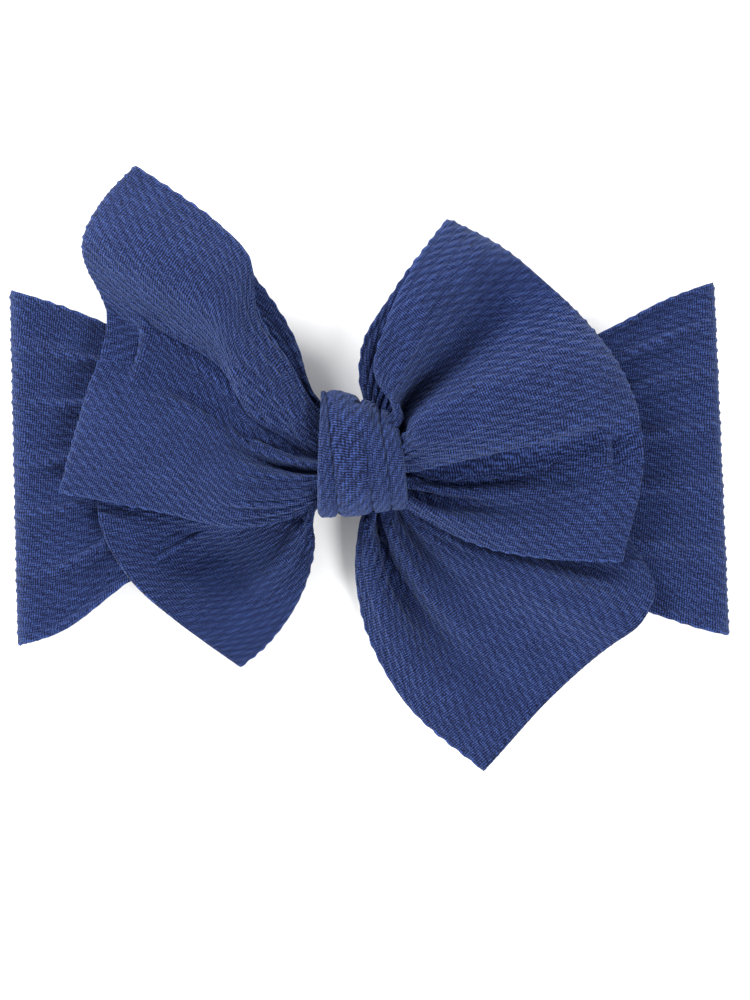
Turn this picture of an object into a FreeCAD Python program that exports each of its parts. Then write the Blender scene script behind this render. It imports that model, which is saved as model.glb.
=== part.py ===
import FreeCAD, Part
import math
import os
import Sketcher

# Hair bow on a wide knit head wrap, lying flat on its back.
# Frame: +Z up from the table, +X to the wearer's left-hand fold, +Y to the top of the bow,
# origin on the table under the middle of the knot. Millimetres.

# ---------------------------------------------------------------- driving dimensions
SIZES = {
    "cloth": 0.9,  # thickness of the knit
    "thread": 0.5,  # diameter of the sewing thread
    "slack": 0.3,  # free space between pieces that move apart
    "band_left": 86.3,  # origin to the left fold
    "band_right": 89.7,  # origin to the right fold
    "band_depth": 7.8,  # outside thickness of the flattened band
    "band_half_strip": 50.0,  # more than half the strip's width, before the edges are cut in
    "knot_width": 23.0,  # along X
    "knot_top": 30.0,
    "knot_base": 2.2,
    "knot_half_flat": 2.25,  # half of the straight stretch of the knot's oval, along Y
    "knot_wall": 1.8,  # two layers of pleated cloth
    "bundle_radius": 5.5,  # gathered middle of the loop strip
    "bundle_half_flat": 5.0,
    "bundle_level": 20.5,
    "tail_level": 8.3,  # underside of the tail strip, just above the band
    "tail_crest": 2.0,  # how far past the band's edge a tail stays level
    "tail_drop": 7.4,  # how far a tail falls from that level to the table
    "left_tail_turn": -63.1,  # direction in which the left tail falls away
    "right_tail_turn": -117.6,
    "left_tail_run": 36.0,  # distance over which it falls
    "right_tail_run": 58.0,
    "left_tail_hinge": 21.15,  # lines below the knot where the free tails bend
    "right_tail_hinge": 28.9,
    "loop_base": 10.0,  # underside of both loops
    "loop_near_radius": 5.5,  # the loop's section is a teardrop: small by the knot, large at the fold
    "loop_far_radius": 8.5,
    "loop_near_reach": 17.0,
    "left_loop_reach": 71.5,  # origin to the fold
    "right_loop_reach": 69.5,
    "left_loop_turn": 166.0,  # direction that each loop's fold faces
    "right_loop_turn": 14.0,
    "loop_half_strip": 90.0,
    "loop_gap": 12.2,  # origin to the loops' near ends, beside the knot
    "cutter_depth": 60.0,
}

# Corners of the plan outlines, in order round each piece.
OUTLINES = {
    "band_top_cut": {
        "outer_left": (-95.0, 41.5), "fold_left": (-86.3, 40.8), "slope_left": (-62.0, 31.8),
        "waist_left": (-12.0, 8.0), "waist_right": (12.0, 8.0), "slope_right": (62.0, 31.5),
        "fold_right": (89.7, 42.8), "outer_right": (98.0, 43.5), "far_right": (98.0, 60.0), "far_left": (-95.0, 60.0),
    },
    "band_bottom_cut": {
        "outer_left": (-95.0, -48.0), "fold_left": (-86.3, -47.5), "slope_left": (-57.2, -31.0),
        "waist_left": (-12.0, -8.0), "waist_right": (12.0, -8.0), "slope_right": (72.2, -39.5),
        "fold_right": (89.7, -44.7), "outer_right": (98.0, -45.0), "far_right": (98.0, -60.0),
        "far_left": (-95.0, -60.0),
    },
    "tail_middle": {
        "left_inner": (-12.0, 6.0), "left_shoulder": (-65.0, -11.0), "left_outer": (-63.0, -21.0),
        "left_hinge": (-12.0, -21.0), "left_hip": (-12.0, -7.0), "hip_middle": (11.9, -7.0),
        "right_hip": (11.9, -15.2), "right_root": (-0.3, -15.2), "right_hinge": (-1.2, -28.75),
        "right_outer": (69.5, -28.75), "right_shoulder": (66.0, -18.0), "right_inner": (12.0, 6.0),
    },
    "left_tail": {
        "outer": (-63.0, -21.3), "flank": (-57.0, -31.2), "heel": (-45.0, -42.0), "tip": (-30.2, -53.0),
        "cut": (-24.7, -48.2), "side": (-16.0, -37.0), "inner": (-12.0, -21.3),
    },
    "right_tail": {
        "outer": (69.5, -29.05), "shoulder": (73.0, -35.7), "corner": (69.7, -41.7), "cut_middle": (49.7, -58.2),
        "tip": (30.5, -79.0), "heel": (9.7, -60.5), "side": (-0.2, -38.0), "inner": (-1.2, -29.05),
    },
    "left_loop": {
        "knot_top": (-12.2, 15.0), "brow": (-13.2, 21.5), "edge": (-24.0, 41.5), "edge_top": (-34.0, 55.0),
        "tip": (-54.7, 69.7), "shoulder": (-62.0, 62.0), "bulge": (-67.3, 51.1), "dip": (-62.2, 34.8),
        "side": (-68.0, 13.0), "corner": (-73.9, -9.5), "hem": (-29.2, -18.3), "knot_bottom": (-12.2, -14.0),
    },
    "right_loop": {
        "knot_bottom": (12.2, -11.5), "hem_start": (14.4, -14.9), "hem": (26.5, -21.7), "hem_end": (43.5, -25.3),
        "corner": (63.9, -26.3), "side": (69.0, 3.3), "bulge": (66.6, 13.0), "crown": (48.4, 38.5),
        "tip": (21.0, 56.9), "edge": (10.8, 40.9), "brow": (-0.2, 21.0), "over_knot": (1.0, 17.8),
        "knot_top": (12.2, 17.8),
    },
}

KNOT_STITCH_PLACES = (-8.0, -4.0, 0.0, 4.0, 8.0)
KNOT_STITCH_LENGTH = 2.4
SEAM_STITCH_COUNT = 8
SEAM_STITCH_PITCH = 1.9
SEAM_STITCH_LENGTH = 2.6
THREAD_TURNS = 3
THREAD_PITCH = 0.8
TOUCH = 0.02  # space left under a stitch that lies on cloth

doc = FreeCAD.newDocument("HairBow")
sheet = doc.addObject("Spreadsheet::Sheet", "Sizes")


def fill_sheet():
    """Write every driving dimension and outline corner into the sheet, each with its alias."""
    rows = dict(SIZES)
    for outline, corners in OUTLINES.items():
        for corner, (x, y) in corners.items():
            rows[f"{outline}_{corner}_x"] = x
            rows[f"{outline}_{corner}_y"] = y
    for row, (alias, value) in enumerate(rows.items(), start=1):
        sheet.set(f"A{row}", alias)
        sheet.set(f"B{row}", str(value))
        sheet.setAlias(f"B{row}", alias)
    doc.recompute()


def size(name):
    return float(sheet.get(name))


# ---------------------------------------------------------------- sketch helpers
def new_body(name, label):
    body = doc.addObject("PartDesign::Body", name)
    body.Label = label
    return body


def new_sketch(body, name, role):
    sketch = body.newObject("Sketcher::SketchObject", name)
    plane = next(item for item in body.Origin.OriginFeatures if item.Role == role)
    sketch.AttachmentSupport = (plane, [""])
    sketch.MapMode = "FlatFace"
    return sketch


def pin(sketch, geometry, point, across, up, at):
    """Hold one point of the sketch at two expressions; at is where it is drawn first."""
    for kind, expression, value in (("DistanceX", across, at[0]), ("DistanceY", up, at[1])):
        number = sketch.addConstraint(Sketcher.Constraint(kind, -1, 1, geometry, point, value))
        sketch.setExpression(f"Constraints[{number}]", expression)


def add_polygon(sketch, corners):
    """Closed outline; each corner is (expression across, expression up)."""
    places = [tuple(evaluate(text) for text in corner) for corner in corners]
    first = sketch.GeometryCount
    count = len(corners)
    for index in range(count):
        start = FreeCAD.Vector(*places[index], 0)
        end = FreeCAD.Vector(*places[(index + 1) % count], 0)
        sketch.addGeometry(Part.LineSegment(start, end), False)
    for index in range(count):
        following = first + (index + 1) % count
        sketch.addConstraint(Sketcher.Constraint("Coincident", first + index, 2, following, 1))
    for index, (across, up) in enumerate(corners):
        pin(sketch, first + index, 1, across, up, places[index])


def evaluate(expression):
    """The number that a sheet expression stands for."""
    return float(sheet.evalExpression(expression.replace("Sizes.", "")))


def add_rounded(sketch, left, right):
    """Closed outline round two circles, each (expression across, expression up, expression radius)."""
    circles = [tuple(evaluate(text) for text in circle) for circle in (left, right)]
    (x_left, y_left, r_left), (x_right, y_right, r_right) = circles
    gap = math.hypot(x_right - x_left, y_right - y_left)
    heading = math.atan2(y_right - y_left, x_right - x_left)
    lean = math.acos((r_left - r_right) / gap)
    top = heading + lean
    bottom = heading - lean
    centres = (FreeCAD.Vector(x_left, y_left, 0), FreeCAD.Vector(x_right, y_right, 0))
    up = FreeCAD.Vector(0, 0, 1)

    def rim(centre, radius, angle):
        return centre + FreeCAD.Vector(radius * math.cos(angle), radius * math.sin(angle), 0)

    first = sketch.GeometryCount
    round_turn = 2 * math.pi
    sketch.addGeometry(Part.ArcOfCircle(Part.Circle(centres[0], up, r_left), top, bottom + round_turn), False)
    sketch.addGeometry(Part.ArcOfCircle(Part.Circle(centres[1], up, r_right), bottom, top), False)
    sketch.addGeometry(
        Part.LineSegment(rim(centres[0], r_left, bottom), rim(centres[1], r_right, bottom)), False)
    sketch.addGeometry(Part.LineSegment(rim(centres[1], r_right, top), rim(centres[0], r_left, top)), False)
    for pair in ((0, 2, 2, 1), (2, 2, 1, 1), (1, 2, 3, 1), (3, 2, 0, 1)):
        one, one_end, other, other_end = pair
        sketch.addConstraint(Sketcher.Constraint("Tangent", first + one, one_end, first + other, other_end))
    for index, circle in enumerate((left, right)):
        pin(sketch, first + index, 3, circle[0], circle[1], circles[index][:2])
        number = sketch.addConstraint(Sketcher.Constraint("Radius", first + index, circles[index][2]))
        sketch.setExpression(f"Constraints[{number}]", circle[2])


def add_pad(body, sketch, name, length, midplane=False):
    pad = body.newObject("PartDesign::Pad", name)
    pad.Profile = sketch
    pad.setExpression("Length", length)
    pad.Midplane = midplane
    doc.recompute()
    return pad


def cut_through(body, sketch, name):
    before = body.Shape.Volume
    pocket = body.newObject("PartDesign::Pocket", name)
    pocket.Profile = sketch
    pocket.setExpression("Length", "4 * Sizes.cutter_depth")
    pocket.Midplane = True
    doc.recompute()
    if not body.Shape.Volume < before:
        raise RuntimeError(f"{name} cuts nothing")
    return pocket


def outline_corners(outline):
    return [(f"Sizes.{outline}_{corner}_x", f"Sizes.{outline}_{corner}_y") for corner in OUTLINES[outline]]


# ---------------------------------------------------------------- band
def make_band_half(label, front):
    """One panel of the flattened band with its half of both end folds."""
    body = new_body(label.title().replace("_", ""), label)
    section = new_sketch(body, f"{label}_section", "XZ_Plane")
    for inset in ("0", "Sizes.cloth"):
        radius = f"Sizes.band_depth / 2 - {inset}"
        add_rounded(
            section,
            ("-Sizes.band_left + Sizes.band_depth / 2", "Sizes.band_depth / 2", radius),
            ("Sizes.band_right - Sizes.band_depth / 2", "Sizes.band_depth / 2", radius),
        )
    add_pad(body, section, f"{label}_tube", "2 * Sizes.band_half_strip", midplane=True)
    for side in ("top", "bottom"):
        edge = new_sketch(body, f"{label}_{side}_edge", "XY_Plane")
        add_polygon(edge, outline_corners(f"band_{side}_cut"))
        cut_through(body, edge, f"{label}_{side}_trim")
    other_half = new_sketch(body, f"{label}_other_half", "XZ_Plane")
    split = "(Sizes.band_depth + Sizes.slack) / 2" if front else "(Sizes.band_depth - Sizes.slack) / 2"
    beyond = "-Sizes.band_depth" if front else "2 * Sizes.band_depth"
    add_polygon(other_half, [
        ("-Sizes.band_left - Sizes.band_depth", split),
        ("Sizes.band_right + Sizes.band_depth", split),
        ("Sizes.band_right + Sizes.band_depth", beyond),
        ("-Sizes.band_left - Sizes.band_depth", beyond),
    ])
    cut_through(body, other_half, f"{label}_split")
    return body


def make_row_of_stitches(label, places, along, length, level):
    """Short straight stitches lying on cloth; places are (x, y) of their middles."""
    stitches = []
    for index, (x, y) in enumerate(places, start=1):
        stitch = doc.addObject("Part::Cylinder", f"{label}_{index}")
        stitch.setExpression("Radius", "Sizes.thread / 2")
        stitch.Height = length
        if along == "X":
            stitch.Placement = FreeCAD.Placement(
                FreeCAD.Vector(x - length / 2, y, level), FreeCAD.Rotation(FreeCAD.Vector(0, 1, 0), 90))
        else:
            stitch.Placement = FreeCAD.Placement(
                FreeCAD.Vector(x, y - length / 2, level), FreeCAD.Rotation(FreeCAD.Vector(1, 0, 0), -90))
        stitches.append(stitch)
    row = doc.addObject("Part::Compound", label.title().replace("_", ""))
    row.Label = label
    row.Links = stitches
    return row


# ---------------------------------------------------------------- bow
def make_cutter(outline):
    """Upright block over a plan outline."""
    body = new_body(f"{outline}_cutter", f"{outline}_cutter")
    plan = new_sketch(body, f"{outline}_plan", "XY_Plane")
    add_polygon(plan, outline_corners(outline))
    add_pad(body, plan, f"{outline}_block", "Sizes.cutter_depth")
    return body


def trim(label, blank, outline):
    piece = doc.addObject("Part::Common", label.title().replace("_", ""))
    piece.Label = label
    piece.Base = blank
    piece.Tool = make_cutter(outline)
    doc.recompute()
    return piece


def turn_about_up(body, turn, base):
    body.Placement = FreeCAD.Placement(
        FreeCAD.Vector(*base, 0), FreeCAD.Rotation(FreeCAD.Vector(0, 0, 1), turn))


def make_loop(side):
    """Front and back layers joined by the end fold, open at both raw edges."""
    label = f"{side}_loop"
    body = new_body(f"{label}_blank", f"{label}_blank")
    section = new_sketch(body, f"{label}_section", "XZ_Plane")
    reach = f"Sizes.{label}_reach"
    for inset in ("0", "Sizes.cloth"):
        add_rounded(
            section,
            ("Sizes.loop_near_reach", "Sizes.loop_base + Sizes.loop_near_radius",
             f"Sizes.loop_near_radius - {inset}"),
            (f"{reach} - Sizes.loop_far_radius", "Sizes.loop_base + Sizes.loop_far_radius",
             f"Sizes.loop_far_radius - {inset}"),
        )
    add_pad(body, section, f"{label}_tube", "2 * Sizes.loop_half_strip", midplane=True)
    turn_about_up(body, size(f"{label}_turn"), (0, 0))
    return trim(label, body, label)


def make_tail(side):
    """Free end of the tail strip: level over the band, then falling to the table."""
    label = f"{side}_tail"
    body = new_body(f"{label}_blank", f"{label}_blank")
    section = new_sketch(body, f"{label}_section", "XZ_Plane")
    fall = "Sizes.tail_level - Sizes.tail_drop"
    run = f"Sizes.{label}_run"
    add_polygon(section, [
        ("-2 * Sizes.cutter_depth", "Sizes.tail_level"),
        ("Sizes.tail_crest", "Sizes.tail_level"),
        (run, fall),
        (run, f"{fall} + Sizes.cloth"),
        ("Sizes.tail_crest", "Sizes.tail_level + Sizes.cloth"),
        ("-2 * Sizes.cutter_depth", "Sizes.tail_level + Sizes.cloth"),
    ])
    add_pad(body, section, f"{label}_strip", "4 * Sizes.cutter_depth", midplane=True)
    waist = OUTLINES["band_bottom_cut"][f"waist_{side}"]
    turn_about_up(body, size(f"{label}_turn"), waist)
    return trim(label, body, label)


def make_tail_middle():
    """Middle of the tail strip, flat through the knot and out under both loops."""
    body = new_body("TailMiddle", "tail_middle")
    plan = new_sketch(body, "tail_middle_plan", "XY_Plane")
    add_polygon(plan, outline_corners("tail_middle"))
    add_pad(body, plan, "tail_middle_sheet", "Sizes.cloth")
    body.setExpression("Placement.Base.z", "Sizes.tail_level")
    return body


def bundle_outline(sketch, grow):
    add_rounded(
        sketch,
        ("-Sizes.bundle_half_flat", "Sizes.bundle_level", f"Sizes.bundle_radius + {grow}"),
        ("Sizes.bundle_half_flat", "Sizes.bundle_level", f"Sizes.bundle_radius + {grow}"),
    )


def make_loop_middle():
    """Gathered middle of the loop strip, held inside the knot."""
    body = new_body("LoopMiddle", "loop_middle")
    section = new_sketch(body, "loop_middle_section", "YZ_Plane")
    bundle_outline(section, "0")
    add_pad(body, section, "loop_middle_bundle", "Sizes.knot_width", midplane=True)
    return body


def make_gather_thread():
    """Turns of thread round the loop strip's middle."""
    body = new_body("GatherThread", "gather_thread")
    path = new_sketch(body, "gather_path", "YZ_Plane")
    bundle_outline(path, "Sizes.thread / 2 + 0.05")
    section = new_sketch(body, "gather_section", "XZ_Plane")
    top = "Sizes.bundle_level + Sizes.bundle_radius + Sizes.thread / 2 + 0.05"
    section.addGeometry(
        Part.Circle(FreeCAD.Vector(0, evaluate(top), 0), FreeCAD.Vector(0, 0, 1), size("thread") / 2), False)
    pin(section, 0, 3, "0", top, (0, evaluate(top)))
    number = section.addConstraint(Sketcher.Constraint("Radius", 0, size("thread") / 2))
    section.setExpression(f"Constraints[{number}]", "Sizes.thread / 2")
    doc.recompute()
    turn = body.newObject("PartDesign::AdditivePipe", "gather_turn")
    turn.Profile = section
    turn.Spine = (path, [f"Edge{number}" for number in range(1, 5)])
    doc.recompute()
    turns = body.newObject("PartDesign::LinearPattern", "gather_turns")
    turns.Originals = [turn]
    turns.Direction = (section, ["H_Axis"])
    turns.Length = THREAD_PITCH * (THREAD_TURNS - 1)
    turns.Occurrences = THREAD_TURNS
    body.Tip = turns
    body.Placement.Base.x = -turns.Length / 2
    doc.recompute()
    return body


def make_knot_wrap():
    """Closed oval wrap round the middle of the bow and the front of the band."""
    body = new_body("KnotWrap", "knot_wrap")
    section = new_sketch(body, "knot_section", "YZ_Plane")
    middle = "(Sizes.knot_top + Sizes.knot_base) / 2"
    for inset in ("0", "Sizes.knot_wall"):
        radius = f"(Sizes.knot_top - Sizes.knot_base) / 2 - {inset}"
        add_rounded(
            section,
            ("-Sizes.knot_half_flat", middle, radius),
            ("Sizes.knot_half_flat", middle, radius),
        )
    add_pad(body, section, "knot_ring", "Sizes.knot_width", midplane=True)
    return body


# ---------------------------------------------------------------- build, check, write
def build():
    fill_sheet()
    on_back_panel = size("cloth") + size("thread") / 2 + TOUCH
    under_knot = size("knot_base") - size("thread") / 2 - TOUCH
    seam_start = -SEAM_STITCH_PITCH * (SEAM_STITCH_COUNT - 1) / 2
    seam_places = [(0.0, seam_start + SEAM_STITCH_PITCH * step) for step in range(SEAM_STITCH_COUNT)]
    return [
        make_band_half("band_back", front=False),
        make_row_of_stitches("back_seam_stitches", seam_places, "X", SEAM_STITCH_LENGTH, on_back_panel),
        make_band_half("band_front", front=True),
        make_tail_middle(),
        make_tail("left"),
        make_tail("right"),
        make_loop_middle(),
        make_gather_thread(),
        make_loop("left"),
        make_loop("right"),
        make_knot_wrap(),
        make_row_of_stitches(
            "knot_stitches", [(x, 0.0) for x in KNOT_STITCH_PLACES], "Y", KNOT_STITCH_LENGTH, under_knot),
    ]


def check(pieces):
    doc.recompute()
    for item in doc.Objects:
        if {"Invalid", "Error"} & set(item.State):
            raise RuntimeError(f"{item.Label}: {item.State}")
    for piece in pieces:
        if piece.Shape.isNull() or not piece.Shape.isValid():
            raise RuntimeError(f"{piece.Label}: bad shape")


pieces = build()
check(pieces)
os.makedirs("parts", exist_ok=True)
for piece in pieces:
    piece.Shape.exportStep(f"parts/{piece.Label}.step")
    box = piece.Shape.BoundBox
    print(f"{piece.Label:20s} solids {len(piece.Shape.Solids)} volume {piece.Shape.Volume:9.1f} "
          f"x {box.XMin:.1f}..{box.XMax:.1f} y {box.YMin:.1f}..{box.YMax:.1f} z {box.ZMin:.1f}..{box.ZMax:.1f}")
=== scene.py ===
import math

import bpy
import numpy as np
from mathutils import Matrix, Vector


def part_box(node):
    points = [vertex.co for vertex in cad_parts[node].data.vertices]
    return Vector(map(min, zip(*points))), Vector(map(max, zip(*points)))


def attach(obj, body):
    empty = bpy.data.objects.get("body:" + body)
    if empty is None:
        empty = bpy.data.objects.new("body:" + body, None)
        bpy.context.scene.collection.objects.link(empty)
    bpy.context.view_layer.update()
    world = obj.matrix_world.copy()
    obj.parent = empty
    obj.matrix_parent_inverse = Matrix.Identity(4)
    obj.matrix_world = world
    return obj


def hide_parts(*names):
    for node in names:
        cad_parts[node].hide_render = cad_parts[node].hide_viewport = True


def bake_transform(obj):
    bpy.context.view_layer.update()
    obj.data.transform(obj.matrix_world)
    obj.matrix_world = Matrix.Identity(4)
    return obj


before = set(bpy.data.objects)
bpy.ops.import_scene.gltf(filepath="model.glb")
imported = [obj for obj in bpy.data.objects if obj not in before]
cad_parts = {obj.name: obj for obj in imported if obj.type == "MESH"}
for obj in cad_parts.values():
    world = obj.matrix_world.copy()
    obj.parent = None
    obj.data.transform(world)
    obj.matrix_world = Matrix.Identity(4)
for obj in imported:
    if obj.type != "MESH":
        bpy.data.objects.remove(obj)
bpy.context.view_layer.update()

# Hair bow on a wide knit head wrap, lying flat. Shapes are worked out in millimetres and written in metres.
MM = 0.001

# ---------------------------------------------------------------- sizes, millimetres
CLOTH = 0.95  # thickness of the knit between its ridges
STRIP_WIDTH = 88.0  # width that every wide strip was cut to
# Pitch of the two sets of bubble rows, and the degrees that each is turned from along the strip to across it.
BUBBLE_ROWS = ((2.1, 54.5), (2.6, 95.0))
BUBBLE = (0.42, 0.24, 0.34)  # share of each set of rows, and of both together, in a bubble's height
BUBBLE_HEIGHT = 0.24
INNER_SHARE = 0.6  # how much of the bubbles' height shows on the cloth's other face
RAGGED = 0.35  # how far the bubbles push a raw edge in and out
STITCH_PITCH = 0.57  # fine cross rows of the knit
WALE_PITCH = 0.66  # fine lengthways rows of the knit
MESH_ACROSS = 0.36  # spacing of mesh points across the strip
MESH_ALONG = 0.95
GRID = 2.0  # spacing of the coarse grid on which a strip is settled
LATTICE = [(math.cos(math.radians(turn)) / pitch, math.sin(math.radians(turn)) / pitch)
           for pitch, turn in BUBBLE_ROWS]


def low_high(node):
    low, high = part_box(node)
    return np.array(low) / MM, np.array(high) / MM


BAND_LOW, BAND_HIGH = low_high("band_front")
KNOT_LOW, KNOT_HIGH = low_high("knot_wrap")


# ---------------------------------------------------------------- curves and surfaces
def through(knots, values, at):
    """A smooth curve through values at the rising knots, read at the places in at."""
    knots, values, at = np.asarray(knots, float), np.asarray(values, float), np.asarray(at, float)
    wide = (-1,) + (1,) * (values.ndim - 1)
    step = np.diff(knots)
    slope = np.diff(values, axis=0) / step.reshape(wide)
    tangent = np.empty_like(values)
    tangent[0], tangent[-1] = slope[0], slope[-1]
    if len(knots) > 2:
        share = (step[1:] / (step[:-1] + step[1:])).reshape(wide)
        tangent[1:-1] = slope[:-1] * share + slope[1:] * (1 - share)
    k = np.clip(np.searchsorted(knots, at, side="right") - 1, 0, len(knots) - 2)
    h = step[k].reshape(wide)
    s = ((at - knots[k]) / step[k]).reshape(wide)
    return (values[k] * (1 + 2 * s) * (1 - s) ** 2 + values[k + 1] * s * s * (3 - 2 * s)
            + tangent[k] * h * s * (1 - s) ** 2 + tangent[k + 1] * h * s * s * (s - 1))


def curve(points, count):
    """A smooth line through given points."""
    points = np.asarray(points, float)
    run = np.concatenate([[0], np.cumsum(np.linalg.norm(np.diff(points, axis=0), axis=1))])
    return through(run / run[-1], points, np.linspace(0, 1, count))


def span(near, far, first, last, rows=61, columns=81):
    """Sheet between four edges: near and far run across the strip, first and last join their ends."""
    first = curve([near[0], *first, far[0]], rows)[:, None]
    last = curve([near[-1], *last, far[-1]], rows)[:, None]
    near, far = curve(near, columns)[None], curve(far, columns)[None]
    u = np.linspace(0, 1, rows)[:, None, None]
    v = np.linspace(0, 1, columns)[None, :, None]
    corners = ((1 - u) * ((1 - v) * near[:, :1] + v * near[:, -1:])
               + u * ((1 - v) * far[:, :1] + v * far[:, -1:]))
    return (1 - u) * near + u * far + (1 - v) * first + v * last - corners


QUARTERS = [0, 0.25, 0.5, 0.75, 1]  # shares of the way to a sheet's far end at which a fold's rises are given


def raise_folds(sheet, ridges, steps, turn=0.0):
    """Add folds to a sheet's height. They start at the knot, and round off over the sheet's last turn."""
    rows, columns = sheet.shape[:2]
    u = np.linspace(0, 1, rows)
    v = np.linspace(0, 1, columns)[None, :]
    round_off = np.sqrt(1 - np.clip(1 - (1 - u) / turn, 0, 1) ** 2) if turn else np.ones(rows)
    for start, end, rises, width in ridges:
        rise = through(QUARTERS, rises, u) * round_off
        away = v - (start + (end - start) * u)[:, None]
        sheet[..., 2] += rise[:, None] * np.exp(-(away / width) ** 2)
    for start, end, rises, width in steps:
        rise = through(QUARTERS, rises, u) * round_off
        away = v - (start + (end - start) * u)[:, None]
        sheet[..., 2] += rise[:, None] * (1 - smooth_step(-width, width, away))


def arc(points, axis):
    return np.linalg.norm(np.diff(points, axis=axis), axis=2)


def even_places(points, axis, count, low, high):
    """Parameter values, from low to high, that space the surface evenly along the axis."""
    length = arc(points, axis).mean(axis=1 - axis)
    run = np.concatenate([[0], np.cumsum(length)])
    spread = np.linspace(low, high, len(run))
    return np.interp(np.linspace(0, run[-1], count), run, spread)


def resample(points, rows, columns):
    """The same surface on a finer grid."""
    points = through(np.linspace(0, 1, points.shape[0]), points, np.linspace(0, 1, rows))
    across = np.linspace(0, 1, points.shape[1])
    points = through(across, points.transpose(1, 0, 2), np.linspace(0, 1, columns))
    return points.transpose(1, 0, 2)


def normals(points):
    du = np.gradient(points, axis=0)
    dv = np.gradient(points, axis=1)
    n = np.cross(du, dv)
    return n / np.maximum(np.linalg.norm(n, axis=2, keepdims=True), 1e-9)


def smooth_step(low, high, value):
    s = np.clip((value - low) / (high - low), 0, 1)
    return s * s * (3 - 2 * s)


# ---------------------------------------------------------------- cloth
def settle(points, rest_u, rest_v, pull, rounds, bend, limit):
    """Let a strip find its own folds: its grid keeps the rest lengths, is drawn to where it started by pull,
    and limit(points) keeps it off whatever it lies on. Position-based cloth, the same every run."""
    goal = points.copy()
    points = points.copy()
    diagonal = (np.hypot(0.5 * (rest_u[:, 1:] + rest_u[:, :-1]), 0.5 * (rest_v[1:] + rest_v[:-1])))

    def keep(a, b, rest, stiff):
        gap = b - a
        length = np.maximum(np.linalg.norm(gap, axis=-1, keepdims=True), 1e-6)
        shift = gap * (0.5 * stiff * (length - rest[..., None]) / length)
        a += shift
        b -= shift

    for _ in range(rounds):
        for parity in (0, 1):
            last = (points.shape[0] - 1 - parity) // 2 * 2 + parity
            keep(points[parity:last:2], points[parity + 1:last + 1:2], rest_u[parity:last:2], 0.9)
        for parity in (0, 1):
            last = (points.shape[1] - 1 - parity) // 2 * 2 + parity
            keep(points[:, parity:last:2], points[:, parity + 1:last + 1:2], rest_v[:, parity:last:2], 0.9)
        for parity in (0, 1):
            last = (points.shape[0] - 1 - parity) // 2 * 2 + parity
            near, far = points[parity:last:2], points[parity + 1:last + 1:2]
            keep(near[:, :-1], far[:, 1:], diagonal[parity:last:2], 0.25)
            keep(near[:, 1:], far[:, :-1], diagonal[parity:last:2], 0.25)
        middle = 0.25 * (points[:-2, 1:-1] + points[2:, 1:-1] + points[1:-1, :-2] + points[1:-1, 2:])
        points[1:-1, 1:-1] += bend * (middle - points[1:-1, 1:-1])
        for edge in (0, -1):
            middle = 0.5 * (points[:-2, edge] + points[2:, edge])
            points[1:-1, edge] += bend * (middle - points[1:-1, edge])
        points += pull[..., None] * (goal - points)
        limit(points)
    return points


def bubbles(u, v):
    """Height, about -0.5 to 1, of the slanted bubbles at u along and v across the strip, in millimetres."""
    wander = 0.09 * np.sin(0.23 * u + 0.31 * v) + 0.07 * np.sin(0.41 * v - 0.13 * u)
    first = LATTICE[0][0] * u + LATTICE[0][1] * v + wander
    second = LATTICE[1][0] * u + LATTICE[1][1] * v - 0.5 * wander
    return (BUBBLE[0] * np.cos(2 * np.pi * first) + BUBBLE[1] * np.cos(2 * np.pi * second)
            + BUBBLE[2] * np.cos(2 * np.pi * (first + second)))


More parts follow.
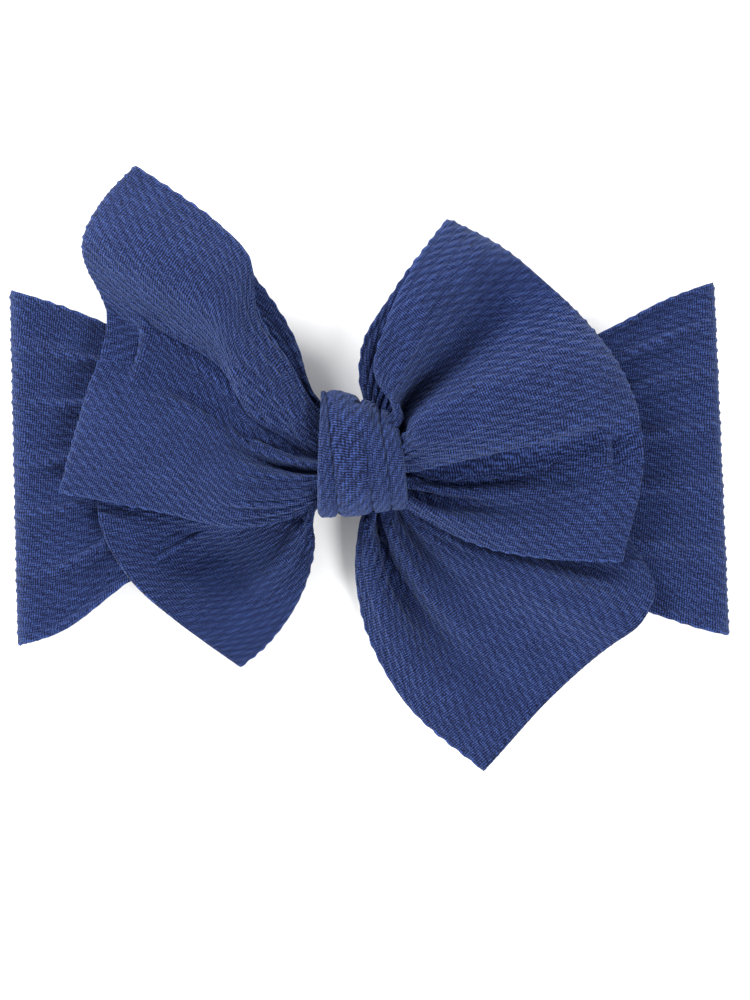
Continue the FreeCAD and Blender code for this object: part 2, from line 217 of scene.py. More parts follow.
def cloth_mesh(name, points, wide=STRIP_WIDTH, closed=False, height=BUBBLE_HEIGHT, v_start=0.0, thick=CLOTH):
    """A sheet of knit round the surface in points: two textured faces and the cut edges between them."""
    rows, columns = points.shape[:2]
    length_u = np.concatenate([np.zeros((1, columns)), np.cumsum(arc(points, 0), axis=0)])
    u = length_u.mean(axis=1, keepdims=True) + np.zeros((1, columns))
    v = v_start + np.linspace(0, wide, columns)[None, :] + np.zeros((rows, 1))
    n = normals(points)
    rise = height * bubbles(u, v)
    edge = np.minimum(np.arange(columns), np.arange(columns)[::-1]) * wide / columns
    soften = smooth_step(-0.6, 1.6, edge)[None, :]
    outward = np.gradient(points, axis=1) * np.where(np.arange(columns) < columns / 2, -1, 1)[None, :, None]
    outward /= np.maximum(np.linalg.norm(outward, axis=2, keepdims=True), 1e-9)
    points = points + outward * (RAGGED * bubbles(u, v) * (1 - soften))[..., None]
    outer = points + n * ((0.5 * thick + rise) * soften)[..., None]
    inner = points - n * ((0.5 * thick + INNER_SHARE * rise) * soften)[..., None]
    vertices = np.concatenate([outer.reshape(-1, 3), inner.reshape(-1, 3)]) * MM
    index = np.arange(rows * columns).reshape(rows, columns)
    under = index + rows * columns

    def quads(a, b, c, d):
        return np.stack([a.ravel(), b.ravel(), c.ravel(), d.ravel()], axis=1)

    faces = [
        quads(index[:-1, :-1], index[1:, :-1], index[1:, 1:], index[:-1, 1:]),
        quads(under[:-1, :-1], under[:-1, 1:], under[1:, 1:], under[1:, :-1]),
        quads(index[:-1, 0], under[:-1, 0], under[1:, 0], index[1:, 0]),
        quads(index[:-1, -1], index[1:, -1], under[1:, -1], under[:-1, -1]),
    ]
    if not closed:
        faces.append(quads(index[0, :-1], index[0, 1:], under[0, 1:], under[0, :-1]))
        faces.append(quads(index[-1, :-1], under[-1, :-1], under[-1, 1:], index[-1, 1:]))
    else:
        faces.append(quads(index[-1, :-1], index[0, :-1], index[0, 1:], index[-1, 1:]))
        faces.append(quads(under[-1, :-1], under[-1, 1:], under[0, 1:], under[0, :-1]))
        faces.append(quads(index[-1, 0], under[-1, 0], under[0, 0], index[0, 0])[:1])
        faces.append(quads(index[-1, -1], index[0, -1], under[0, -1], under[-1, -1])[:1])
    faces = np.concatenate(faces)
    mesh = bpy.data.meshes.new(name)
    mesh.vertices.add(len(vertices))
    mesh.vertices.foreach_set("co", vertices.astype(np.float32).ravel())
    mesh.loops.add(faces.size)
    mesh.loops.foreach_set("vertex_index", faces.ravel().astype(np.int32))
    mesh.polygons.add(len(faces))
    mesh.polygons.foreach_set("loop_start", np.arange(0, faces.size, 4, dtype=np.int32))
    mesh.polygons.foreach_set("loop_total", np.full(len(faces), 4, dtype=np.int32))
    mesh.polygons.foreach_set("use_smooth", np.ones(len(faces), dtype=bool))
    mesh.update(calc_edges=True)
    uv = (np.stack([np.tile(u.ravel(), 2), np.tile(v.ravel(), 2)], axis=1) * MM)[faces]
    whole = u.max() * MM
    crosses_seam = np.ptp(uv[..., 0], axis=1) > 0.5 * whole
    uv[crosses_seam, :, 0] += np.where(uv[crosses_seam, :, 0] < 0.5 * whole, whole, 0.0)
    layer = mesh.uv_layers.new(name="UVMap")
    layer.data.foreach_set("uv", uv.astype(np.float32).ravel())
    mesh.validate()
    piece = bpy.data.objects.new(name, mesh)
    bpy.context.scene.collection.objects.link(piece)
    return piece


EDGE_PULL, END_PULL = 0.9, 0.6  # how firmly a strip's raw edges and its two ends are held in place
GATHERED = (0.2, 0.62)  # share of the way from the knot over which the gathers let go
SLIMMEST, WIDEST = 0.97, 1.3  # limits on how much a gathered strip is widened
BEND = 0.05  # how much each round smooths a strip


def settle_strip(draft, reach, limit, pull_inner=0.2, rounds=60):
    """Let a draft strip take up its full width where it is gathered, and return it on the fine grid.
    reach says how far from the knot each share of the strip's length is, from 0 to 1."""
    count_u = int(round(np.median(arc(draft, 0).sum(axis=0)) / GRID)) + 1
    count_v = int(round(STRIP_WIDTH / GRID)) + 1
    along = even_places(draft, 0, count_u, 0, 1)
    grid = through(np.linspace(0, 1, len(draft)), draft, along)
    grid = through(np.linspace(0, 1, grid.shape[1]), grid.transpose(1, 0, 2),
                   np.linspace(0, 1, count_v)).transpose(1, 0, 2)
    rest_u, rest_v = arc(grid, 0), arc(grid, 1)
    even = np.median(rest_u.sum(axis=0)) / rest_u.sum(axis=0)
    rest_u = rest_u * (0.5 + 0.5 * even[None, :])
    widen = np.clip(STRIP_WIDTH / rest_v.sum(axis=1), SLIMMEST, WIDEST)
    rest_v = rest_v * (1 + (widen - 1) * (1 - smooth_step(*GATHERED, reach(along))))[:, None]
    pull = np.full(grid.shape[:2], pull_inner)
    pull[:, 0] = pull[:, -1] = EDGE_PULL
    pull[:2] = pull[-2:] = END_PULL
    settled = settle(grid, rest_u, rest_v, pull, rounds, BEND, limit)
    fine_u = int(round(np.median(arc(settled, 0).sum(axis=0)) / MESH_ALONG)) + 1
    fine_v = int(round(STRIP_WIDTH / MESH_ACROSS)) + 1
    return resample(settled, fine_u, fine_v)


# ---------------------------------------------------------------- loops and tails
# Edges are points (x, y, z) in millimetres: x and y start from the corners of the CAD part's plan, and z is
# how high the cloth stands there. A ridge or a step is its place at the knot, its place at the far end, its
# rises at the knot, at each quarter of the way and at the far end, and its width. Places and widths are
# shares of the strip's width, counted from the edge named first.
LOOPS = {
    "left": {
        "knot": [(-5, 7, 18), (-5, -1, 18), (-5, -9, 15)],
        "fold": [(-55.5, 71, 14), (-63, 63, 15), (-68.5, 52.5, 15), (-62.5, 35, 13), (-68, 13, 13),
                 (-74.5, -9.5, 12)],
        "top": [(-9.5, 10, 19), (-17, 22, 20), (-25, 35, 20), (-27, 48, 18), (-34.5, 56, 17), (-44, 63, 16)],
        "bottom": [(-18, -16, 14), (-30, -18, 15), (-50, -14, 14)],
        "back_top": [(-36, 55, 12), (-25.5, 43, 12), (-15.5, 27, 12), (-12, 16, 12)],
        "back_bottom": [(-50, -12, 10.5), (-28, -15, 10.5)],
        "ridges": [
            (0.19, 0.21, (1, 6, 8, 8, 3), 0.18),
            (0.52, 0.53, (-2, -6, -10, -8, -1), 0.08),
            (0.60, 0.60, (3, 2, 0, 0, 0), 0.03),
            (0.67, 0.65, (-4, -4, 0, 0, 0), 0.035),
            (0.82, 0.82, (3, 3, 3, 3, 2), 0.13),
        ],
    },
    "right": {
        "knot": [(5, 7, 19), (5, -1, 18), (5, -9, 15)],
        "fold": [(21, 57.5, 15), (35, 50, 15), (48.5, 39, 15), (67, 13.5, 15), (69.5, 3, 14),
                 (64.5, -26.5, 12)],
        "top": [(8, 11, 21), (3.5, 19, 23), (6, 31, 24), (12, 44, 21)],
        "bottom": [(14, -15, 14), (26.5, -21.5, 14), (43.5, -25.5, 13.5)],
        "back_top": [(8, 40, 13), (0.5, 27, 14), (0, 16, 14)],
        "back_bottom": [(43, -22, 10.5), (26, -17, 10.5)],
        "ridges": [
            (0.10, 0.13, (1, 4, 5, 5, 3), 0.09),
            (0.27, 0.27, (-7, -8, -2, 0, 0), 0.06),
            (0.26, 0.25, (0, -1, -6, -8, -3), 0.15),
            (0.46, 0.45, (2, 6, 7, 6, 3), 0.12),
            (0.69, 0.72, (-3, -9, -10, -6, -1), 0.05),
            (0.84, 0.86, (-4, -7, -2, 0, 0), 0.035),
            (0.93, 0.92, (2, 3, 2, 1, 0), 0.05),
        ],
        "steps": [(0.62, 0.66, (2, 4, 4, 4, 2), 0.05)],
    },
}
TAILS = {
    "left": {
        "knot": [(-6, -8, 11), (-6, -3, 11), (-6, 3, 10)],
        "cut": [(-30, -53, 1.5), (-45, -41.5, 8), (-57, -30, 12), (-63, -20, 12), (-66, 0, 9.5),
                (-65, 14, 9.5)],
        "inner": [(-11.5, -15, 9), (-11.5, -23, 7), (-15.5, -36.5, 4), (-24, -48, 2)],
        "outer": [(-27, 7, 9.5), (-46, 11, 9.5)],
        "ridges": [
            (0.20, 0.14, (1, 2, 2, 1, 0), 0.05),
            (0.38, 0.37, (0, 0, -3, -10, 0), 0.20),
            (0.55, 0.55, (0, 1, 4, 1, 0), 0.07),
        ],
    },
    "right": {
        "knot": [(2, -8, 11), (5, -7, 11), (9, -5, 10)],
        "cut": [(30.5, -79, 1.5), (49.5, -58, 4.5), (62, -46.5, 9), (69, -41, 11), (72, -35.5, 11),
                (65, -18, 9.5)],
        "inner": [(0, -16, 9), (-1.5, -26, 8), (0, -39, 6), (10, -60.5, 3.5)],
        "outer": [(30, -9, 9.5), (50, -13, 9.5)],
        "ridges": [
            (0.10, 0.12, (2, 3, 2, 1, 0), 0.06),
            (0.23, 0.26, (-5, -8, -6, -2, 0), 0.055),
            (0.34, 0.34, (3, 2, 1, 0, 0), 0.03),
            (0.46, 0.46, (-6, -4, -1, 0, 0), 0.05),
            (0.62, 0.63, (0, 0, 1, 4, 3), 0.09),
            (0.80, 0.78, (0, -2, -3, -4, 0), 0.06),
        ],
    },
}
LOOP_FLOOR, LOOP_CEILING = 11.1, 29.0  # how low and how high the loops' cloth may lie
LAYER_GAP = 1.8  # between a loop's front and back layer
LOOP_TURN = 0.13  # share of a loop's length over which its end fold rounds over
BACK_DROP = 7  # how far under its front layer a loop's back layer enters the knot
TAIL_FLOOR = 0.9
TAIL_COVERED = 9.4  # highest that a tail lies where its loop covers it
TAIL_OPEN = 16.0  # highest that it lies elsewhere
COVER_EDGE = 5  # distance over which the one limit passes into the other


def loop_limit(points):
    """Keep the loop's front layer above its back layer, and the back layer above what it lies on."""
    half = points.shape[0] // 2
    front, back = points[:half], points[::-1][:half]
    fold = 4
    back[..., 2] = np.maximum(back[..., 2], LOOP_FLOOR)
    front[:-fold, :, 2] = np.maximum(front[:-fold, :, 2], back[:-fold, :, 2] + LAYER_GAP)
    points[..., 2] = np.minimum(points[..., 2], LOOP_CEILING)


def make_loop(side):
    """Front layer from the knot to the end fold, and back layer from the fold to the knot."""
    shape = LOOPS[side]
    front = span(shape["knot"], shape["fold"], shape["top"], shape["bottom"])
    raise_folds(front, shape["ridges"], shape.get("steps", []), LOOP_TURN)
    under_knot = [(x, y, z - BACK_DROP) for x, y, z in shape["knot"]]
    back = span(shape["fold"], under_knot, shape["back_top"], shape["back_bottom"])
    draft = np.concatenate([front, back[1:]])
    surface = settle_strip(draft, lambda along: 1 - np.abs(1 - 2 * along), loop_limit)
    if side == "right":
        surface = surface[:, ::-1]
    return cloth_mesh(f"{side}_loop_cloth", surface)


def tail_limit(side):
    """Keep a tail above the table, and below its loop's back layer wherever the loop covers it."""
    x, y, _ = zip(*sorted(LOOPS[side]["bottom"]))

    def limit(points):
        covered = smooth_step(-COVER_EDGE, 0, points[..., 1] - np.interp(points[..., 0], x, y))
        ceiling = TAIL_OPEN + (TAIL_COVERED - TAIL_OPEN) * covered
        points[..., 2] = np.clip(points[..., 2], TAIL_FLOOR, ceiling)

    return limit


def make_tail(side):
    """Free end of the tail strip, from inside the knot to its cut end on the table."""
    shape = TAILS[side]
    draft = span(shape["knot"], shape["cut"], shape["inner"], shape["outer"])
    raise_folds(draft, shape["ridges"], [])
    surface = settle_strip(draft, lambda along: along, tail_limit(side), pull_inner=0.25, rounds=50)
    if side == "left":
        surface = surface[:, ::-1]
    return cloth_mesh(f"{side}_tail_cloth", surface)


# ---------------------------------------------------------------- band
BAND_FLOOR = 0.8  # lowest that the middle of the cloth lies
BAND_ALONG, BAND_ACROSS = 1.6, 0.45  # spacing of the band's mesh points
BAND_MARGIN = 0.2  # room left for the bubbles inside the CAD band's height
LEFT_LEAN, RIGHT_LEAN = 2.0, 3.75  # how far right of its upper corner each folded end's lower corner lies
WAIST = 8.0  # half of the band's gathered width beside the knot
BAND_TOP = [(BAND_LOW[0], 41), (-77, 38), (-62, 32), (-12, WAIST), (12, WAIST), (62, 31.5), (76, 38),
            (BAND_HIGH[0], 43)]
BAND_BOTTOM = [(BAND_LOW[0], -47.5), (-75, -44), (-57, -31), (-12, -WAIST), (12, -WAIST), (72, -39.5),
               (82, -43), (BAND_HIGH[0], -45)]


def band_edge(x, corners):
    """Y of one of the flattened band's raw edges at x. Its corners start from the CAD band's, with one more
    near each fold."""
    return through(*np.array(corners).T, np.clip(x, BAND_LOW[0], BAND_HIGH[0]))


# Where pleats crest across the band, as shares of its width from its upper edge, left and right of the knot.
LEFT_PLEATS = [0.0, 0.15, 0.31, 0.48, 0.63, 0.81, 1.0]
RIGHT_PLEATS = [0.0, 0.12, 0.25, 0.41, 0.58, 0.78, 1.0]


def pleat_crests(v, places):
    """Pleats with narrow crests at the places and broad sags between, from -0.6 to 1."""
    count = np.interp(v, places, np.arange(len(places)))
    wave = np.exp(3.2 * (np.cos(2 * np.pi * count) - 1))
    return 1.45 * wave - 0.45


def make_band():
    """The closed band: back panel on the table, folds at both ends, front panel gathered at the knot."""
    depth = BAND_HIGH[2]
    radius = 0.5 * depth - 0.5 * CLOTH - BAND_MARGIN
    left, right = BAND_LOW[0] + 0.5 * CLOTH, BAND_HIGH[0] - 0.5 * CLOTH
    middle = 0.5 * depth
    straight = right - left - 2 * radius
    turn = math.pi * radius
    total = 2 * straight + 2 * turn
    rows = int(total / BAND_ALONG)
    columns = int(STRIP_WIDTH / BAND_ACROSS) + 1
    s = np.arange(rows) * total / rows
    x, z = np.empty(rows), np.empty(rows)
    for i, run in enumerate(s):
        if run < straight:  # front panel, left to right
            x[i], z[i] = left + radius + run, middle + radius
        elif run < straight + turn:
            angle = (run - straight) / radius
            x[i] = right - radius + radius * math.sin(angle)
            z[i] = middle + radius * math.cos(angle)
        elif run < 2 * straight + turn:
            x[i], z[i] = right - radius - (run - straight - turn), middle - radius
        else:
            angle = (run - 2 * straight - turn) / radius
            x[i] = left + radius - radius * math.sin(angle)
            z[i] = middle - radius * math.cos(angle)
    v = np.linspace(0, 1, columns)
    low, high = band_edge(x, BAND_BOTTOM), band_edge(x, BAND_TOP)
    points = np.empty((rows, columns, 3))
    points[..., 0] = x[:, None]
    points[..., 1] = high[:, None] + (low - high)[:, None] * v[None, :]
    points[..., 2] = z[:, None]
    lean = np.where(x > 0, RIGHT_LEAN, LEFT_LEAN) * smooth_step(60, 88, np.abs(x))
    points[..., 0] += lean[:, None] * (v - 0.5)[None, :]
    side = np.where(z > middle, 1.0, -1.0)[:, None]
    room = np.abs(high - low)[:, None]
    spare = np.clip((STRIP_WIDTH / room) ** 2 - 1, 0, 8)
    near = (1 - smooth_step(50, 66, np.abs(x)))[:, None]
    crest = np.where((x < 0)[:, None], pleat_crests(v, LEFT_PLEATS), pleat_crests(v, RIGHT_PLEATS))
    broad = np.minimum(0.55 + 1.4 * np.sqrt(spare), 1.25)
    tight = np.minimum(np.sqrt(spare) * 0.4, 0.9) * near
    fine = np.sin(2 * np.pi * (13 * v[None, :] + 0.2 * np.sin(9 * v[None, :])))
    points[..., 2] += side * (broad * crest * (1 - 0.5 * near) + tight * fine * 0.8)
    points[..., 2] = np.maximum(points[..., 2], BAND_FLOOR)
    seam = int(rows * (1.5 * straight + turn) / total)  # behind the knot
    points = np.roll(points, -seam, axis=0)
    return cloth_mesh("band_cloth", points[:, ::-1], closed=True)


# ---------------------------------------------------------------- knot
PLEATS = [(-10.0, -6.4, 1.4), (-6.4, 2.1, 1.8), (2.1, 6.6, 1.6), (6.6, 10.8, 1.5)]  # from x, to x, height
KNOT_ROWS, PLEAT_COLUMNS = 170, 30
KNOT_TOP = ([-12, -6, 2, 13], [14.2, 13.4, 11, 5])  # half width of the wrap's upper side at each x
KNOT_BOTTOM = ([-12, -6, 13], [13.7, 13.6, 11.2])  # and of its lower side
KNOT_WIDE, KNOT_FROM = 26.0, 30.0  # width of strip that shows in the pleats, and where in the knit it starts
KNOT_BUBBLES = 0.12  # the bubbles are stretched flatter round the knot
KNOT_THICK = 0.6
THREAD_LOW, THREAD_HIGH = low_high("gather_thread")
THREAD_ROOM = 0.25  # gap between the wrap, apart from its bubbles, and the gathering thread under it


def clear_thread(points):
    """Push the wrap outside the gathering thread, whose turns follow a bar with half-round sides."""
    radius = 0.5 * (THREAD_HIGH[2] - THREAD_LOW[2])
    flat, level = THREAD_HIGH[1] - radius, 0.5 * (THREAD_HIGH[2] + THREAD_LOW[2])
    centre = np.stack([np.clip(points[..., 1], -flat, flat), np.full(points.shape[:2], level)], axis=-1)
    away = points[..., 1:] - centre
    distance = np.linalg.norm(away, axis=-1)
    least = radius + 0.5 * KNOT_THICK + THREAD_ROOM
    near = 1 - smooth_step(THREAD_HIGH[0] + 0.4, THREAD_HIGH[0] + 2.4, np.abs(points[..., 0]))
    push = near * np.maximum(least / distance - 1, 0)
    points[..., 1:] += away * push[..., None]


def make_knot():
    """The pleated wrap: a closed oval ring round the X axis, fuller at its left than at its right."""
    phi = np.linspace(0, 2 * np.pi, KNOT_ROWS, endpoint=False)[:, None]
    swing = -0.6 - 1.5 * np.sin(phi)
    lines = [PLEATS[0][0] + 0.5 * np.sin(phi)]
    lines += [end + swing * (0.8 if end == PLEATS[-1][1] else 1.0) for _, end, _ in PLEATS]
    x, rise = [], []
    for k, (_, _, height) in enumerate(PLEATS):
        t = np.linspace(-1, 1, PLEAT_COLUMNS)[None, :]
        t = t if k == 0 else t[:, 1:]
        x.append(lines[k] + (lines[k + 1] - lines[k]) * (t + 1) / 2)
        bulge = height * np.maximum(1 - np.abs(t) ** 5, 0) ** 0.8
        rise.append(bulge * (1 + 0.12 * np.sin(3 * phi + 2.1 * k)) + 0 * phi)
    x, rise = np.concatenate(x, axis=1), np.concatenate(rise, axis=1)
    top = through(*KNOT_TOP, x.ravel()).reshape(x.shape)
    bottom = through(*KNOT_BOTTOM, x.ravel()).reshape(x.shape)
    half = np.where(np.sin(phi) > 0, top, bottom)
    low, high = KNOT_LOW[2] + 1.3, KNOT_HIGH[2] - 2.2 - 0.12 * (x + 9)
    under = 0.35 + 0.65 * smooth_step(-0.8, 0.0, np.cos(phi))
    points = np.empty(x.shape + (3,))
    points[..., 0] = x
    points[..., 1] = half * np.sin(phi) + rise * under * np.sin(phi)
    points[..., 2] = 0.5 * (low + high) + (0.5 * (high - low) + rise * under) * np.cos(phi)
    clear_thread(points)
    points = np.roll(points, KNOT_ROWS // 2, axis=0)
    return cloth_mesh("knot_cloth", points[:, ::-1], wide=KNOT_WIDE, closed=True, height=KNOT_BUBBLES,
                      v_start=KNOT_FROM, thick=KNOT_THICK)


# ---------------------------------------------------------------- materials
def node(tree, kind, **settings):
    made = tree.nodes.new(kind)
    for key, value in settings.items():
        setattr(made, key, value)
    return made


def math_node(tree, operation, first, second=None, third=None):
    made = node(tree, "ShaderNodeMath", operation=operation)
    for socket, value in zip(made.inputs, (first, second, third)):
        if value is None:
            continue
        if isinstance(value, (int, float)):
            socket.default_value = value
        else:
            tree.links.new(value, socket)
    return made.outputs[0]


# Noises of the knit: scale per metre, detail and roughness.
FUZZ, PATCH, DRIFT = (2300.0, 2.0, 0.6), (160.0, 3.0, 0.55), (420.0, 1.0, 0.5)
KNIT_RELIEF = 0.0004  # metres, depth of the material's own relief
EDGE_HIGHLIGHT_WIDTH, EDGE_HIGHLIGHT_LIFT = 0.55, 0.22  # width in millimetres of the painted highlight along a raw edge, and how much paler it paints the knit there
LEVEL_SHIFT = -0.89  # puts the weave's painted shade and tone between the shaded and lit ends of the ramp


def knit_material(name, shaded_colour, lit_colour):
    """Bubble knit: slanted bubbles, fine rows of stitches and a fuzz, with painted shade in the hollows of
    the bubbles and stitches, and a painted highlight along the cut edges.
    """
    material = bpy.data.materials.new(name)
    material.use_nodes = True
    tree = material.node_tree
    tree.nodes.clear()
    output = node(tree, "ShaderNodeOutputMaterial")
    shader = node(tree, "ShaderNodeBsdfPrincipled")
    tree.links.new(shader.outputs[0], output.inputs[0])
    place = node(tree, "ShaderNodeUVMap", uv_map="UVMap")
    split = node(tree, "ShaderNodeSeparateXYZ")
    tree.links.new(place.outputs[0], split.inputs[0])

    def run(operation, *values):
        return math_node(tree, operation, *values)

    u, v = (run("MULTIPLY", socket, 1 / MM) for socket in split.outputs[:2])

    def plane(along, across):
        return run("MULTIPLY_ADD", u, along, run("MULTIPLY", v, across))

    def wave(phase):
        return run("COSINE", run("MULTIPLY", phase, 2 * math.pi))

    wander = run("MULTIPLY_ADD", run("SINE", plane(0.23, 0.31)), 0.09,
                 run("MULTIPLY", run("SINE", plane(-0.13, 0.41)), 0.07))
    first = run("ADD", plane(*LATTICE[0]), wander)
    second = run("MULTIPLY_ADD", wander, -0.5, plane(*LATTICE[1]))
    bubble = run("MULTIPLY_ADD", wave(first), BUBBLE[0], run(
        "MULTIPLY_ADD", wave(second), BUBBLE[1], run("MULTIPLY", wave(run("ADD", first, second)), BUBBLE[2])))

    def noise(scale, detail, roughness):
        made = node(tree, "ShaderNodeTexNoise", noise_dimensions="2D")
        made.inputs["Scale"].default_value = scale
        made.inputs["Detail"].default_value = detail
        made.inputs["Roughness"].default_value = roughness
        tree.links.new(place.outputs[0], made.inputs["Vector"])
        return made.outputs[0]

    fuzz, patch, drift = noise(*FUZZ), noise(*PATCH), noise(*DRIFT)
    stitch = wave(run("MULTIPLY_ADD", drift, 1.1, plane(1 / STITCH_PITCH, -0.16)))
    wale = wave(run("MULTIPLY_ADD", drift, 0.7, plane(0.12, 1 / WALE_PITCH)))
    fine = run("MULTIPLY_ADD", stitch, 0.34, run("MULTIPLY_ADD", wale, 0.16, run("MULTIPLY", fuzz, 1.9)))

    relief = run("MULTIPLY_ADD", bubble, 0.55, run("MULTIPLY", fine, 0.30))
    bump = node(tree, "ShaderNodeBump")
    bump.inputs["Strength"].default_value = 1.0
    bump.inputs["Distance"].default_value = KNIT_RELIEF
    tree.links.new(relief, bump.inputs["Height"])
    tree.links.new(bump.outputs[0], shader.inputs["Normal"])

    # Colour level: painted shade in the hollows of the bubbles and in the grooves between stitches and wales,
    # the fuzz, and real patchy tone from the patch noise.
    level = run("ADD", run("MULTIPLY_ADD", bubble, 0.22, fine), run("MULTIPLY_ADD", patch, 0.22, LEVEL_SHIFT))
    # Painted highlight: within a thin rim of each raw edge the knit is painted paler.
    inset = run("MINIMUM", v, run("SUBTRACT", STRIP_WIDTH, v))
    level = run("ADD", level, run("MULTIPLY", run("LESS_THAN", inset, EDGE_HIGHLIGHT_WIDTH), EDGE_HIGHLIGHT_LIFT))
    # The ramp runs from the knit as painted in shade to the knit as painted in light.
    ramp = node(tree, "ShaderNodeValToRGB")
    stops = ramp.color_ramp.elements
    stops[0].position, stops[1].position = 0.0, 1.0
    stops[0].color = (*shaded_colour, 1)
    stops[1].color = (*lit_colour, 1)
    tree.links.new(level, ramp.inputs[0])
    tree.links.new(ramp.outputs[0], shader.inputs["Base Color"])
    shader.inputs["Roughness"].default_value = 0.9
    shader.inputs["Specular IOR Level"].default_value = 0.15
    shader.inputs["Sheen Weight"].default_value = 0.12
    shader.inputs["Sheen Roughness"].default_value = 0.5
    shader.inputs["Sheen Tint"].default_value = (0.45, 0.6, 1.0, 1)
    return material


def thread_material(name, colour):
    """Twisted polyester sewing thread."""
    material = bpy.data.materials.new(name)
    material.use_nodes = True
    tree = material.node_tree
    shader = tree.nodes["Principled BSDF"]
    place = node(tree, "ShaderNodeTexCoord")
    twist = node(tree, "ShaderNodeTexWave", wave_type="BANDS", bands_direction="DIAGONAL")
    twist.inputs["Scale"].default_value = 2600.0
    tree.links.new(place.outputs["Object"], twist.inputs["Vector"])
    # Painted shade and highlight: the grooves of the twist are painted darker and its plies paler, on the
    # same bands that make its bump.
    ramp = node(tree, "ShaderNodeValToRGB")
    ramp.color_ramp.elements[0].color = (*[c * 0.6 for c in colour], 1)
    ramp.color_ramp.elements[1].color = (*[c * 1.5 for c in colour], 1)
    tree.links.new(twist.outputs[0], ramp.inputs[0])
    tree.links.new(ramp.outputs[0], shader.inputs["Base Color"])
    bump = node(tree, "ShaderNodeBump")
    bump.inputs["Distance"].default_value = 0.0001
    tree.links.new(twist.outputs[0], bump.inputs["Height"])
    tree.links.new(bump.outputs[0], shader.inputs["Normal"])
    shader.inputs["Roughness"].default_value = 0.55
    return material


# Ends of the knit's colour ramp, navy as painted in shade and as painted in light, then the thread's own
# navy.
NAVY_SHADED, NAVY_LIT, NAVY_THREAD = (0.0004, 0.0016, 0.0165), (0.0350, 0.0690, 0.240), (0.02, 0.03, 0.09)
knit = knit_material("navy_bubble_knit", NAVY_SHADED, NAVY_LIT)
thread = thread_material("navy_thread", NAVY_THREAD)


def finish_cloth(piece, rests_on, wide, long):
    """Give a piece its knit. The size it was cut to, wide and long in millimetres, is not used."""
    piece.data.materials.append(knit)


BAND_CUT, LOOP_CUT, TAIL_CUTS = 356, 150, {"left": 53, "right": 65}  # cut lengths of the wide strips
KNOT_CUT = (30, 92)  # width and length of the knot's strip


band = make_band()
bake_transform(band)
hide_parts("band_back", "band_front")
finish_cloth(band, ["floor"], STRIP_WIDTH, BAND_CUT)

knot = make_knot()
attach(knot, "band_front")
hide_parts("knot_wrap")
finish_cloth(knot, ["band_cloth"], *KNOT_CUT)

for side, sign in (("left", -1), ("right", 1)):
    loop = make_loop(side)
    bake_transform(loop)
    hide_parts(*([f"{side}_loop", "loop_middle"] if side == "left" else [f"{side}_loop"]))
    finish_cloth(loop, ["band_cloth"], STRIP_WIDTH, LOOP_CUT)

for side in ("left", "right"):
    tail = make_tail(side)
    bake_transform(tail)
    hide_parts(*([f"{side}_tail", "tail_middle"] if side == "left" else [f"{side}_tail"]))
    finish_cloth(tail, ["band_cloth", "floor"], STRIP_WIDTH, TAIL_CUTS[side])

for name in ("back_seam_stitches", "gather_thread", "knot_stitches"):
    thread_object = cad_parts[name]
    thread_object.data.materials.clear()
    thread_object.data.materials.append(thread)

# ---------------------------------------------------------------- floor, light, camera
FLOOR_HALF, FLOOR_LEVEL = 3.0, -0.0002  # metres
floor_mesh = bpy.data.meshes.new("floor")
floor_mesh.from_pydata(
    [(x * FLOOR_HALF, y * FLOOR_HALF, FLOOR_LEVEL) for x, y in ((-1, -1), (1, -1), (1, 1), (-1, 1))],
    [], [(0, 1, 2, 3)])
floor = bpy.data.objects.new("floor", floor_mesh)
bpy.context.scene.collection.objects.link(floor)
paper = bpy.data.materials.new("white_paper")
paper.use_nodes = True
paper_shader = paper.node_tree.nodes["Principled BSDF"]
paper_shader.inputs["Base Color"].default_value = (0.9, 0.9, 0.9, 1)
paper_shader.inputs["Roughness"].default_value = 0.9
paper_shader.inputs["Specular IOR Level"].default_value = 0.1
floor.data.materials.append(paper)

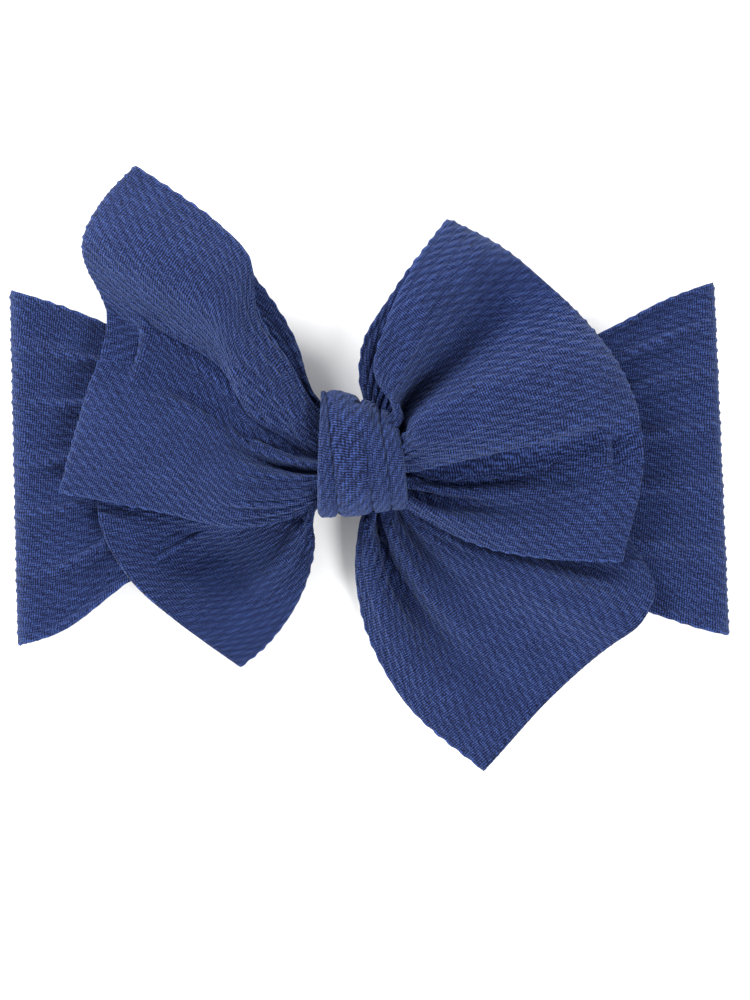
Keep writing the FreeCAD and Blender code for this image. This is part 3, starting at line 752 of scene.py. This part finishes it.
SKY = 4.4  # brightness at the horizon; the light comes mostly from the sides, as in a white tent
SKY_FALL = 1.4  # how fast it fades towards straight above
SKY_LEAST = 0.12  # brightness straight above
SKY_SIDE = (-0.20, 0.0)  # how much brighter it is towards the left and towards the top of the picture
world = bpy.data.worlds.new("tent")
bpy.context.scene.world = world
world.use_nodes = True
sky = world.node_tree
sky.nodes["Background"].inputs[0].default_value = (1, 1, 1, 1)
direction = node(sky, "ShaderNodeTexCoord")
compass = node(sky, "ShaderNodeSeparateXYZ")
sky.links.new(direction.outputs["Generated"], compass.inputs[0])
fade = math_node(sky, "POWER", math_node(sky, "SUBTRACT", 1.0, math_node(
    sky, "MAXIMUM", compass.outputs[2], 0.0)), SKY_FALL)
lean = math_node(sky, "MULTIPLY_ADD", compass.outputs[0], SKY_SIDE[0], math_node(
    sky, "MULTIPLY_ADD", compass.outputs[1], SKY_SIDE[1], 1.0))
glow = math_node(sky, "MULTIPLY_ADD", math_node(sky, "MULTIPLY", fade, lean), SKY, SKY_LEAST)
sky.links.new(glow, sky.nodes["Background"].inputs[1])


def softbox(name, place, size_m, watts):
    lamp = bpy.data.lights.new(name, "AREA")
    lamp.shape = "DISK"
    lamp.size = size_m
    lamp.energy = watts
    holder = bpy.data.objects.new(name, lamp)
    holder.location = place
    holder.rotation_euler = (-Vector(place)).to_track_quat("-Z", "Y").to_euler()
    bpy.context.scene.collection.objects.link(holder)


SOFTBOX_SIZE = 0.4
softbox("key", (-0.61, 0.61, 0.5), SOFTBOX_SIZE, 15.0)
softbox("fill", (0.45, -0.54, 0.71), SOFTBOX_SIZE, 9.5)

VIEW_CENTRE = (0.0035, -0.01125)
CAMERA_HEIGHT = 0.65
VIEW_TALL = 0.25  # metres of the table seen from top to bottom
camera_data = bpy.data.cameras.new("camera")
camera_data.sensor_fit = "VERTICAL"
camera_data.sensor_height = 36.0
camera_data.lens = camera_data.sensor_height * CAMERA_HEIGHT / VIEW_TALL
camera_data.clip_start = 0.01
camera = bpy.data.objects.new("camera", camera_data)
camera.location = (*VIEW_CENTRE, CAMERA_HEIGHT)
bpy.context.scene.collection.objects.link(camera)
bpy.context.scene.camera = camera
bpy.context.scene.view_settings.view_transform = "Standard"
